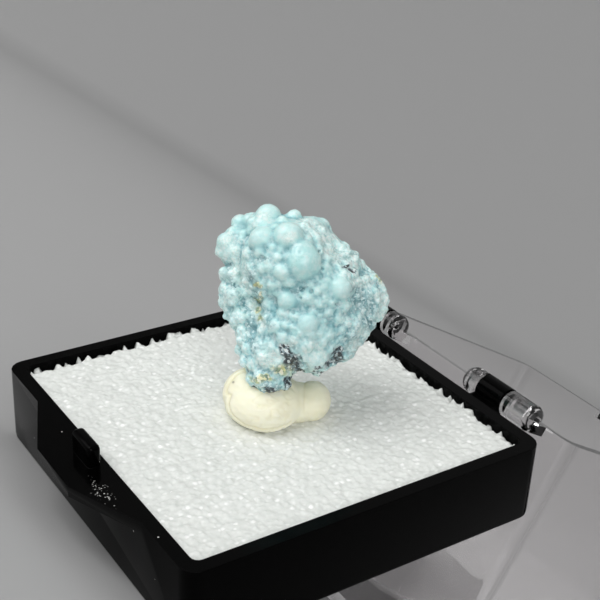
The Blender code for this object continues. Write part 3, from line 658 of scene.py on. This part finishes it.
def build_tack(material):
    """The putty: fused lobes with a pressed rim line and fine wrinkles, and painted shade along the rim line,
    crease and folds.
    """
    turn = Matrix.Rotation(math.radians(TACK_TURN), 3, "Z")
    balls = [(centre, radii, turn, 5) for centre, radii in TACK_LOBES]
    points, faces = fused_balls("tack_source", balls, TACK_VOXEL)
    points = relaxed(points, faces, TACK_BLEND)
    normals = face_normals_at_points(points, faces)
    right, up, _ = face_coordinates(points)
    floor = -FOAM_BELOW_RIM - TACK_SUNK
    facing = normals @ np.array(FACE_OUT) - 0.06 * smooth_noise(points, 1.3, 31)
    above = points[:, 2] - floor - TACK_RIM_RISE + 0.12 * smooth_noise(points, 0.9, 35)
    inward = np.minimum((facing - 0.5) * 2.4, above)
    rim_part = 1.0 - step_between(*TACK_RIM_END, right)
    rim_line = np.exp(-((inward / TACK_RIM_WIDTH) ** 2)) * rim_part
    rim = 0.08 * np.exp(-(((inward + 0.28) / 0.2) ** 2)) * rim_part - 0.15 * rim_line
    shaded_crease = np.exp(-(((right - TACK_CREASE) / 0.08) ** 2)) * step_between(-10.4, -9.6, up)
    stretched = points * np.array((1.0, 1.0, 1.8))
    folds = np.exp(-((smooth_noise(stretched, 0.6, 33) / 0.2) ** 2)) * step_between(-0.3, -0.9, right)
    folds *= step_between(*TACK_FOLDS, right)
    wrinkle = 0.04 * smooth_noise(stretched, 0.55, 32) - 0.06 * folds
    broad = 0.1 * smooth_noise(points, 1.9, 34)
    points = points + normals * (rim - 0.09 * shaded_crease + wrinkle + broad)[:, None]
    points[:, 2] = np.maximum(points[:, 2], floor)
    item = new_mesh_object("putty", points, faces, material)
    speck = np.exp(-((np.hypot(right - TACK_SPECK[0], up - TACK_SPECK[1]) / 0.11) ** 2))
    # Painted shade along the pressed rim line, the crease and the folds
    furrow_shade = np.clip(rim_line + 0.81 * shaded_crease, 0.0, 1.0)
    add_point_colour(item, "marks", (speck, np.maximum(furrow_shade, 0.5 * folds)))
    return finish_smooth(item)


def build_foam(material):
    """The foam pad: a grainy torn top over plain sides."""
    half = HALF_SIDE - WALL - FOAM_SIDE_GAP
    count = int(2 * half / FOAM_STEP) + 1
    line = np.linspace(-half, half, count)
    grid_x, grid_y = np.meshgrid(line, line, indexing="ij")
    flat = np.stack([grid_x.ravel(), grid_y.ravel(), np.zeros(count * count)], axis=1)
    slack = flat + np.stack([smooth_noise(flat, 1.1, axis) for axis in (41, 42, 43)], axis=1) * 0.2
    lumps = sum(height * dome_bumps(slack, cell, seed) for cell, height, seed in FOAM_LUMPS)
    fine = 0.06 * smooth_noise(flat, 2.6, 49)
    edge = np.minimum(half - np.abs(flat[:, 0]), half - np.abs(flat[:, 1]))
    far = np.minimum(half + flat[:, 0], half - flat[:, 1])
    torn = 1.0 - step_between(*FOAM_TORN, far + 0.35 * smooth_noise(flat, 0.5, 45))
    tuft = torn * np.clip(smooth_noise(flat, 0.45, 50), 0.0, 1.0)
    drop = 0.45 * torn - 0.9 * tuft + 0.12 * (1.0 - step_between(0.0, 0.5, edge))
    top = flat.copy()
    top[:, 2] = -FOAM_BELOW_RIM - FOAM_TOP_DROP + lumps + fine - drop
    inner = edge > 1e-6
    top[inner, 0] += 0.05 * smooth_noise(flat, 0.3, 46)[inner]
    top[inner, 1] += 0.05 * smooth_noise(flat, 0.3, 47)[inner]
    index = np.arange(count * count).reshape(count, count)
    corners = [index[:-1, :-1], index[1:, :-1], index[1:, 1:], index[:-1, 1:]]
    quads = np.stack(corners, axis=-1).reshape(-1, 4)
    ring = np.concatenate([index[:, 0], index[-1, 1:], index[-2::-1, -1], index[0, -2:0:-1]])
    bottom = top[ring].copy()
    bottom[:, 2] = TRAY_FLOOR - TRAY_HEIGHT + FOAM_FLOOR_GAP
    low = count * count + np.arange(len(ring))
    faces = quads.tolist()
    for place in range(len(ring)):
        after = (place + 1) % len(ring)
        faces.append([ring[after], ring[place], low[place], low[after]])
    faces.append(low[::-1].tolist())
    item = new_mesh_object("foam_insert", np.concatenate([top, bottom]), faces, material)
    return finish_smooth(item)


def rounded_copy(name, node, width, material):
    """A moulded piece: the CAD node with its sharp edges softened."""
    source = frame["nodes"][node]
    mesh = source.data.copy()
    mesh.name = name
    mesh.materials.clear()
    work = bmesh.new()
    work.from_mesh(mesh)
    bmesh.ops.remove_doubles(work, verts=work.verts, dist=2e-6)
    bmesh.ops.dissolve_limit(work, angle_limit=math.radians(1.0), verts=work.verts, edges=work.edges)
    work.to_mesh(mesh)
    work.free()
    item = bpy.data.objects.new(name, mesh)
    bpy.context.scene.collection.objects.link(item)
    mesh.materials.append(material)
    soften = item.modifiers.new("soften", "BEVEL")
    soften.width = width * MM
    soften.segments = 2
    soften.limit_method = "ANGLE"
    soften.angle_limit = math.radians(BEVEL_ANGLE)
    mesh.shade_smooth()
    mesh.set_sharp_from_angle(angle=math.radians(SHARP_ANGLE))
    return item


class Nodes:
    """A short way to write a material's nodes. Its places are in the tray's axes, in millimetres."""

    def __init__(self, name):
        self.material = bpy.data.materials.new(name)
        self.material.use_nodes = True
        self.tree = self.material.node_tree
        self.shader = self.tree.nodes["Principled BSDF"]
        frame_place = self.add("ShaderNodeMapping", vector_type="TEXTURE")
        self.plug(self.add("ShaderNodeTexCoord").outputs["Object"], frame_place.inputs["Vector"])
        shift, turn, scale = TO_WORLD.decompose()
        frame_place.inputs["Location"].default_value = shift
        frame_place.inputs["Rotation"].default_value = turn.to_euler()
        frame_place.inputs["Scale"].default_value = scale
        self.place = frame_place.outputs["Vector"]

    def add(self, kind, **settings):
        """A new node with its settings."""
        node = self.tree.nodes.new(kind)
        for key, value in settings.items():
            setattr(node, key, value)
        return node

    def plug(self, value, socket):
        """Link an output to a socket, or set the socket to a plain value."""
        if isinstance(value, bpy.types.NodeSocket):
            self.tree.links.new(value, socket)
        else:
            socket.default_value = value

    def noise(self, scale, detail=3.0, roughness=0.55):
        """Soft noise with this many features to the millimetre."""
        node = self.add("ShaderNodeTexNoise")
        self.plug(self.place, node.inputs["Vector"])
        node.inputs["Scale"].default_value = scale
        node.inputs["Detail"].default_value = detail
        node.inputs["Roughness"].default_value = roughness
        return node.outputs["Fac"]

    def cells(self, scale, feature="F1", smooth=None):
        """The distance from the middle of small cells."""
        node = self.add("ShaderNodeTexVoronoi", feature=feature)
        self.plug(self.place, node.inputs["Vector"])
        node.inputs["Scale"].default_value = scale
        if smooth is not None:
            node.inputs["Smoothness"].default_value = smooth
        return node.outputs["Distance"]

    def cell_values(self, scale):
        """One random value for each small cell."""
        node = self.add("ShaderNodeTexVoronoi")
        self.plug(self.place, node.inputs["Vector"])
        node.inputs["Scale"].default_value = scale
        split = self.add("ShaderNodeSeparateColor")
        self.plug(node.outputs["Color"], split.inputs["Color"])
        return split.outputs["Red"]

    def ramp(self, value, *stops):
        """A colour or grey for each value, from stops given as place and colour."""
        node = self.add("ShaderNodeValToRGB")
        self.plug(value, node.inputs["Fac"])
        steps = node.color_ramp.elements
        while len(steps) < len(stops):
            steps.new(0.5)
        for step, (place, colour) in zip(steps, stops):
            step.position = place
            step.color = (*colour, 1.0) if isinstance(colour, tuple) else (colour, colour, colour, 1.0)
        return node.outputs["Color"]

    def mix(self, factor, first, second, blend="MIX"):
        """Two colours mixed, or blended in another way."""
        node = self.add("ShaderNodeMix", data_type="RGBA", blend_type=blend)
        self.plug(factor, node.inputs["Factor"])
        for value, socket in ((first, node.inputs["A"]), (second, node.inputs["B"])):
            if isinstance(value, tuple) and len(value) == 3:
                value = (*value, 1.0)
            colour = next(s for s in node.inputs if s.name == socket.name and s.type == "RGBA")
            self.plug(value, colour)
        return next(s for s in node.outputs if s.type == "RGBA")

    def math(self, operation, first, second=0.0, clamp=False):
        """One sum of two values."""
        node = self.add("ShaderNodeMath", operation=operation, use_clamp=clamp)
        self.plug(first, node.inputs[0])
        self.plug(second, node.inputs[1])
        return node.outputs[0]

    def attribute(self, name):
        """The four values stored at each point under a name."""
        node = self.add("ShaderNodeAttribute", attribute_name=name)
        split = self.add("ShaderNodeSeparateColor")
        self.plug(node.outputs["Color"], split.inputs["Color"])
        return split.outputs["Red"], split.outputs["Green"], split.outputs["Blue"], node.outputs["Alpha"]

    def bump(self, height, distance, strength):
        """Fine relief on the shader, with its distance in millimetres."""
        node = self.add("ShaderNodeBump")
        node.inputs["Strength"].default_value = strength
        node.inputs["Distance"].default_value = distance * MM
        self.plug(height, node.inputs["Height"])
        self.plug(node.outputs["Normal"], self.shader.inputs["Normal"])


def stone_material():
    """Waxy sky-blue gibbsite with dark matrix, ochre crystals and frosted crust, over painted crease shade and
    painted highlights on the rounded tops.
    """
    n = Nodes("gibbsite_crust")
    dark, ochre, frost, _ = n.attribute("marks")
    shaded_crease, grey, blue, sugar = n.attribute("shade_and_grit")
    # Painted shade and highlight: deep teal in creases and pits, pale on the rounded tops
    body = n.ramp(
        shaded_crease, (0.12, (0.70, 0.95, 0.92)), (0.42, (0.50, 0.82, 0.80)), (0.58, (0.33, 0.62, 0.65)),
        (0.85, (0.09, 0.30, 0.35)),
    )
    body = n.mix(blue, body, (0.92, 0.94, 0.97), "MULTIPLY")
    waxy = n.math("MULTIPLY", n.math("SUBTRACT", 1.0, sugar, clamp=True), 0.3)
    body = n.mix(waxy, body, (0.34, 0.68, 0.68))
    cloud = n.ramp(n.noise(0.42, 4.0), (0.35, 0.0), (0.68, 1.0))
    body = n.mix(n.math("MULTIPLY", cloud, 0.3), body, (0.62, 0.86, 0.84))
    veins = n.ramp(n.noise(1.6, 5.0, 0.7), (0.48, 0.0), (0.64, 1.0))
    body = n.mix(n.math("MULTIPLY", veins, 0.5), body, (0.80, 0.94, 0.92))
    teal = n.ramp(n.noise(0.9, 4.0, 0.6), (0.55, 0.0), (0.7, 1.0))
    body = n.mix(n.math("MULTIPLY", teal, 0.35), body, (0.27, 0.54, 0.57))
    grit = n.cell_values(4.6)
    pale = n.math("MULTIPLY", n.ramp(grit, (0.6, 0.0), (0.9, 0.5)), sugar)
    body = n.mix(pale, body, (0.88, 0.98, 0.96))
    deep = n.math("MULTIPLY", n.ramp(grit, (0.05, 0.3), (0.35, 0.0)), sugar)
    body = n.mix(deep, body, (0.24, 0.50, 0.53))
    grey_grain = n.ramp(
        grit, (0.2, (0.13, 0.26, 0.29)), (0.55, (0.27, 0.45, 0.48)), (0.9, (0.66, 0.84, 0.84)),
    )
    greyed = n.mix(n.math("MULTIPLY", grey, 0.72), body, grey_grain)
    crust_grain = n.ramp(
        n.noise(2.4, 4.0, 0.7), (0.36, (0.46, 0.70, 0.68)), (0.5, (0.72, 0.90, 0.87)),
        (0.64, (0.93, 0.97, 0.92)),
    )
    frosted = n.mix(n.math("MULTIPLY", frost, 0.7), greyed, crust_grain)
    crystals = n.cell_values(3.4)
    ochre_grain = n.ramp(
        crystals, (0.1, (0.16, 0.24, 0.15)), (0.35, (0.46, 0.52, 0.27)), (0.6, (0.72, 0.66, 0.24)),
        (0.9, (0.98, 0.94, 0.72)),
    )
    stained = n.mix(n.math("MULTIPLY", ochre, 0.85), frosted, ochre_grain)
    flecks = n.ramp(
        grit, (0.3, (0.015, 0.015, 0.02)), (0.5, (0.07, 0.10, 0.12)), (0.72, (0.24, 0.33, 0.36)),
        (0.95, (0.80, 0.88, 0.88)),
    )
    colour = n.mix(n.math("MULTIPLY", dark, 0.95), stained, flecks)
    n.plug(colour, n.shader.inputs["Base Color"])
    shine = n.ramp(n.noise(0.9, 4.0), (0.3, 0.26), (0.7, 0.5))
    n.plug(shine, n.shader.inputs["Roughness"])
    n.shader.inputs["Subsurface Weight"].default_value = 0.2
    n.shader.inputs["Subsurface Radius"].default_value = (0.5, 0.9, 1.0)
    n.shader.inputs["Subsurface Scale"].default_value = 0.2 * MM
    n.shader.inputs["Coat Weight"].default_value = 0.2
    n.shader.inputs["Coat Roughness"].default_value = 0.25
    n.shader.inputs["IOR"].default_value = 1.57
    grain = n.math("ADD", n.noise(2.8, 4.0, 0.7), n.math("MULTIPLY", n.noise(0.9, 3.0), 0.8))
    grain = n.math("ADD", grain, n.math("MULTIPLY", n.math("MULTIPLY", n.cells(4.6), sugar), -1.2))
    n.bump(grain, 0.055, 0.7)
    return n.material


def putty_material():
    """Cream putty with a faint sheen, and painted shade in its rim line, crease and folds."""
    n = Nodes("cream_putty_finish")
    tone = n.ramp(n.noise(0.3, 3.0), (0.35, (0.90, 0.87, 0.66)), (0.7, (0.95, 0.93, 0.75)))
    speck, furrow_shade, _, _ = n.attribute("marks")
    # Painted shade: darker cream along the rim line, crease and folds
    tone = n.mix(n.math("MULTIPLY", furrow_shade, 0.4), tone, (0.70, 0.64, 0.40))
    tone = n.mix(n.math("MULTIPLY", speck, 0.85), tone, (0.12, 0.10, 0.06))
    n.plug(tone, n.shader.inputs["Base Color"])
    n.shader.inputs["Roughness"].default_value = 0.55
    n.shader.inputs["Subsurface Weight"].default_value = 0.3
    n.shader.inputs["Subsurface Radius"].default_value = (1.0, 0.9, 0.6)
    n.shader.inputs["Subsurface Scale"].default_value = 0.9 * MM
    n.bump(n.math("ADD", n.noise(1.1, 4.0, 0.6), n.noise(3.2, 3.0)), 0.03, 0.5)
    return n.material


def foam_material():
    """White foam: glassy pale grains in a slightly greyer body, which is painted shade between the grains, with
    painted glints on some grains.
    """
    n = Nodes("white_foam_finish")
    grain = n.cells(2.3, "SMOOTH_F1", 0.5)
    # Painted shade: greyer towards the crevices between the grains
    tone = n.ramp(grain, (0.05, (0.80, 0.82, 0.79)), (0.6, (0.70, 0.72, 0.69)))
    soft = n.ramp(n.noise(0.7, 3.0), (0.3, 0.0), (0.75, 1.0))
    tone = n.mix(n.math("MULTIPLY", soft, 0.35), tone, (0.88, 0.90, 0.87))
    # Painted glints: small white spots on some grains
    painted_glint = n.ramp(n.cells(1.9), (0.2, 1.0), (0.5, 0.0))
    painted_glint = n.math("MULTIPLY", n.ramp(n.cell_values(1.9), (0.72, 0.0), (0.9, 1.0)), painted_glint)
    tone = n.mix(painted_glint, tone, (0.99, 1.0, 0.98))
    n.plug(tone, n.shader.inputs["Base Color"])
    n.plug(n.ramp(n.noise(1.5, 2.0), (0.4, 0.6), (0.65, 0.35)), n.shader.inputs["Roughness"])
    n.shader.inputs["Subsurface Weight"].default_value = 0.35
    n.shader.inputs["Subsurface Radius"].default_value = (1.0, 1.0, 1.0)
    n.shader.inputs["Subsurface Scale"].default_value = 0.6 * MM
    n.bump(n.math("SUBTRACT", n.noise(2.4, 4.0, 0.65), grain), 0.06, 0.5)
    return n.material


# The powder on the thumb tab, in the tray's axes: its middle and the heights it lies between
POWDER_MIDDLE = (5.4, -18.9)
POWDER_HEIGHTS = (-0.2, 0.1)


def black_material():
    """Glossy black moulded styrene, with a little dust and fine powder on the thumb tab."""
    n = Nodes("black_styrene_finish")
    dust = n.math("GREATER_THAN", n.cell_values(1.1), 0.9)
    dust = n.math("MULTIPLY", dust, n.ramp(n.cells(1.1), (0.07, 1.0), (0.1, 0.0)))
    split = n.add("ShaderNodeSeparateXYZ")
    n.plug(n.place, split.inputs["Vector"])
    along, outward, height = split.outputs["X"], split.outputs["Y"], split.outputs["Z"]
    from_middle = n.math("ABSOLUTE", n.math("SUBTRACT", along, POWDER_MIDDLE[0]))
    from_row = n.math("ABSOLUTE", n.math("SUBTRACT", outward, POWDER_MIDDLE[1]))
    spread = n.math("ADD", n.math("MULTIPLY", from_middle, 0.2), n.math("MULTIPLY", from_row, 0.55))
    spread = n.math("ADD", spread, n.math("MULTIPLY", n.noise(0.9, 2.0), 0.5))
    above = n.math("GREATER_THAN", height, POWDER_HEIGHTS[0])
    thick = n.math("MULTIPLY", n.ramp(spread, (0.35, 1.0), (0.95, 0.0)), above)
    thick = n.math("MULTIPLY", thick, n.math("LESS_THAN", height, POWDER_HEIGHTS[1]))
    likely = n.math("ADD", n.cell_values(6.5), n.math("MULTIPLY", thick, 0.5))
    grain = n.math("MULTIPLY", n.math("GREATER_THAN", likely, 1.05), thick)
    powder = n.math("MULTIPLY", grain, n.ramp(n.cells(6.5), (0.3, 1.0), (0.5, 0.0)))
    cover = n.math("ADD", dust, powder, clamp=True)
    n.plug(n.mix(cover, (0.0006, 0.0006, 0.0006), (0.5, 0.5, 0.48)), n.shader.inputs["Base Color"])
    n.plug(n.mix(cover, (0.13, 0.13, 0.13), (0.8, 0.8, 0.8)), n.shader.inputs["Roughness"])
    n.shader.inputs["Specular IOR Level"].default_value = 0.035
    n.bump(n.noise(0.42, 3.0), 0.012, 0.35)
    return n.material


def clear_material():
    """Clear moulded styrene."""
    n = Nodes("clear_styrene_finish")
    n.shader.inputs["Base Color"].default_value = (0.97, 0.955, 0.96, 1.0)
    n.shader.inputs["Transmission Weight"].default_value = 1.0
    n.shader.inputs["IOR"].default_value = 1.52
    n.plug(n.ramp(n.noise(0.24, 4.0), (0.35, 0.02), (0.8, 0.09)), n.shader.inputs["Roughness"])
    n.bump(n.noise(0.12, 2.0), 0.01, 0.2)
    return n.material


def stage_material():
    """The plain pale ground, with painted light that makes it a little paler where it curves up, so that the edge
    there stays faint.
    """
    n = Nodes("pale_ground_painted_light")
    place = n.add("ShaderNodeSeparateXYZ")
    n.plug(n.add("ShaderNodeTexCoord").outputs["Object"], place.inputs["Vector"])
    # Painted light: paler from where the ground starts to curve up
    n.plug(n.ramp(place.outputs["Z"], (0.0, 0.50), (0.02, 0.59)), n.shader.inputs["Base Color"])
    n.shader.inputs["Roughness"].default_value = 0.9
    n.shader.inputs["Specular IOR Level"].default_value = 0.1
    return n.material


# The ground in metres: the wall's radius and height and the radius of the curve that joins them
STAGE_RADIUS = 3.6
STAGE_CURVE = 2.2
STAGE_HEIGHT = 3.2
STAGE_STEPS = 12
STAGE_SIDES = 96


def build_stage():
    """A round pale ground that curves up to a wall, so that no horizon shows from any side."""
    flat = STAGE_RADIUS - STAGE_CURVE
    profile = []
    for part in range(STAGE_STEPS + 1):
        angle = math.radians(90.0 * part / STAGE_STEPS)
        profile.append((flat + STAGE_CURVE * math.sin(angle), STAGE_CURVE * (1 - math.cos(angle))))
    profile.append((STAGE_RADIUS, STAGE_HEIGHT))
    points, faces = [], []
    for radius, height in profile:
        for step in range(STAGE_SIDES):
            angle = 2 * math.pi * step / STAGE_SIDES
            points.append((radius * math.cos(angle), radius * math.sin(angle), height))
    for row in range(len(profile) - 1):
        for step in range(STAGE_SIDES):
            after = (step + 1) % STAGE_SIDES
            low, high = row * STAGE_SIDES, (row + 1) * STAGE_SIDES
            faces.append((low + after, low + step, high + step, high + after))
    faces.append(tuple(range(STAGE_SIDES)))
    mesh = bpy.data.meshes.new("ground")
    mesh.from_pydata(points, [], faces)
    ground = bpy.data.objects.new("ground", mesh)
    bpy.context.scene.collection.objects.link(ground)
    mesh.materials.append(stage_material())
    mesh.shade_smooth()


def add_area(name, place, target, size, power):
    """A soft square white light aimed at a target, both in metres."""
    light = bpy.data.lights.new(name, "AREA")
    light.shape = "SQUARE"
    light.size = size
    light.energy = power
    item = bpy.data.objects.new(name, light)
    bpy.context.scene.collection.objects.link(item)
    item.location = place
    item.rotation_euler = (Vector(target) - Vector(place)).to_track_quat("-Z", "Y").to_euler()


# Studio lights: direction in the tray's axes, size in metres and power in watts
LIGHT_DISTANCE = 2000.0
LIGHT_TARGET = (0.0, 0.0, 6.0)
SKY_STRENGTH = 0.48
LIGHTS = (
    ("key_light", (-0.25, -0.4, 1.0), 1.3, 18.0),
    ("left_light", (-0.7, -0.6, 0.9), 1.2, 7.0),
    ("front_light", (0.95, -0.4, 0.5), 1.2, 23.0),
)


def build_lights():
    """A large soft key from above the display side, weaker lights around it and an even sky."""
    middle = TO_WORLD @ Vector(LIGHT_TARGET)
    for name, way, size, power in LIGHTS:
        place = TO_WORLD @ (Vector(way).normalized() * LIGHT_DISTANCE)
        add_area(name, place, middle, size, power)
    world = bpy.data.worlds.new("sky")
    world.use_nodes = True
    sky = world.node_tree.nodes["Background"]
    sky.inputs["Color"].default_value = (1.0, 1.0, 1.0, 1.0)
    sky.inputs["Strength"].default_value = SKY_STRENGTH
    bpy.context.scene.world = world
    bpy.context.scene.view_settings.view_transform = "Standard"


def build_camera():
    """The photograph's camera."""
    out = -LOOK.normalized()
    right, up = roll_axes(out, CAMERA_ROLL)
    axes = Matrix((right, up, out)).transposed()
    turn = TO_WORLD.to_3x3().normalized() @ axes
    data = bpy.data.cameras.new("camera")
    data.lens = LENS
    data.sensor_width = SENSOR
    data.clip_start = 0.002
    data.clip_end = 10.0
    camera = bpy.data.objects.new("camera", data)
    bpy.context.scene.collection.objects.link(camera)
    camera.matrix_world = Matrix.Translation(TO_WORLD @ EYE) @ turn.to_4x4()
    bpy.context.scene.camera = camera


def build_pieces():
    """Every piece, with the body it rides on, the node it stands for and its finish."""
    stone = build_stone(stone_material())
    putty = build_tack(putty_material())
    foam = build_foam(foam_material())
    tray = rounded_copy("tray_moulding", "tray", TRAY_EDGE, black_material())
    lid = rounded_copy("lid_moulding", "lid", LID_EDGE, clear_material())
    rows = (
        (stone, BASE, "gibbsite", "blue_gibbsite"),
        (putty, BASE, "mineral_tack", "cream_putty"),
        (foam, BASE, "foam_pad", "white_foam"),
        (tray, BASE, "tray", "black_styrene"),
        (lid, FOLDING, "lid", "clear_styrene"),
    )
    for piece, body, node, slot in rows:
        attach(piece, body)
        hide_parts(node)


build_camera()
build_stage()
build_lights()
build_pieces()
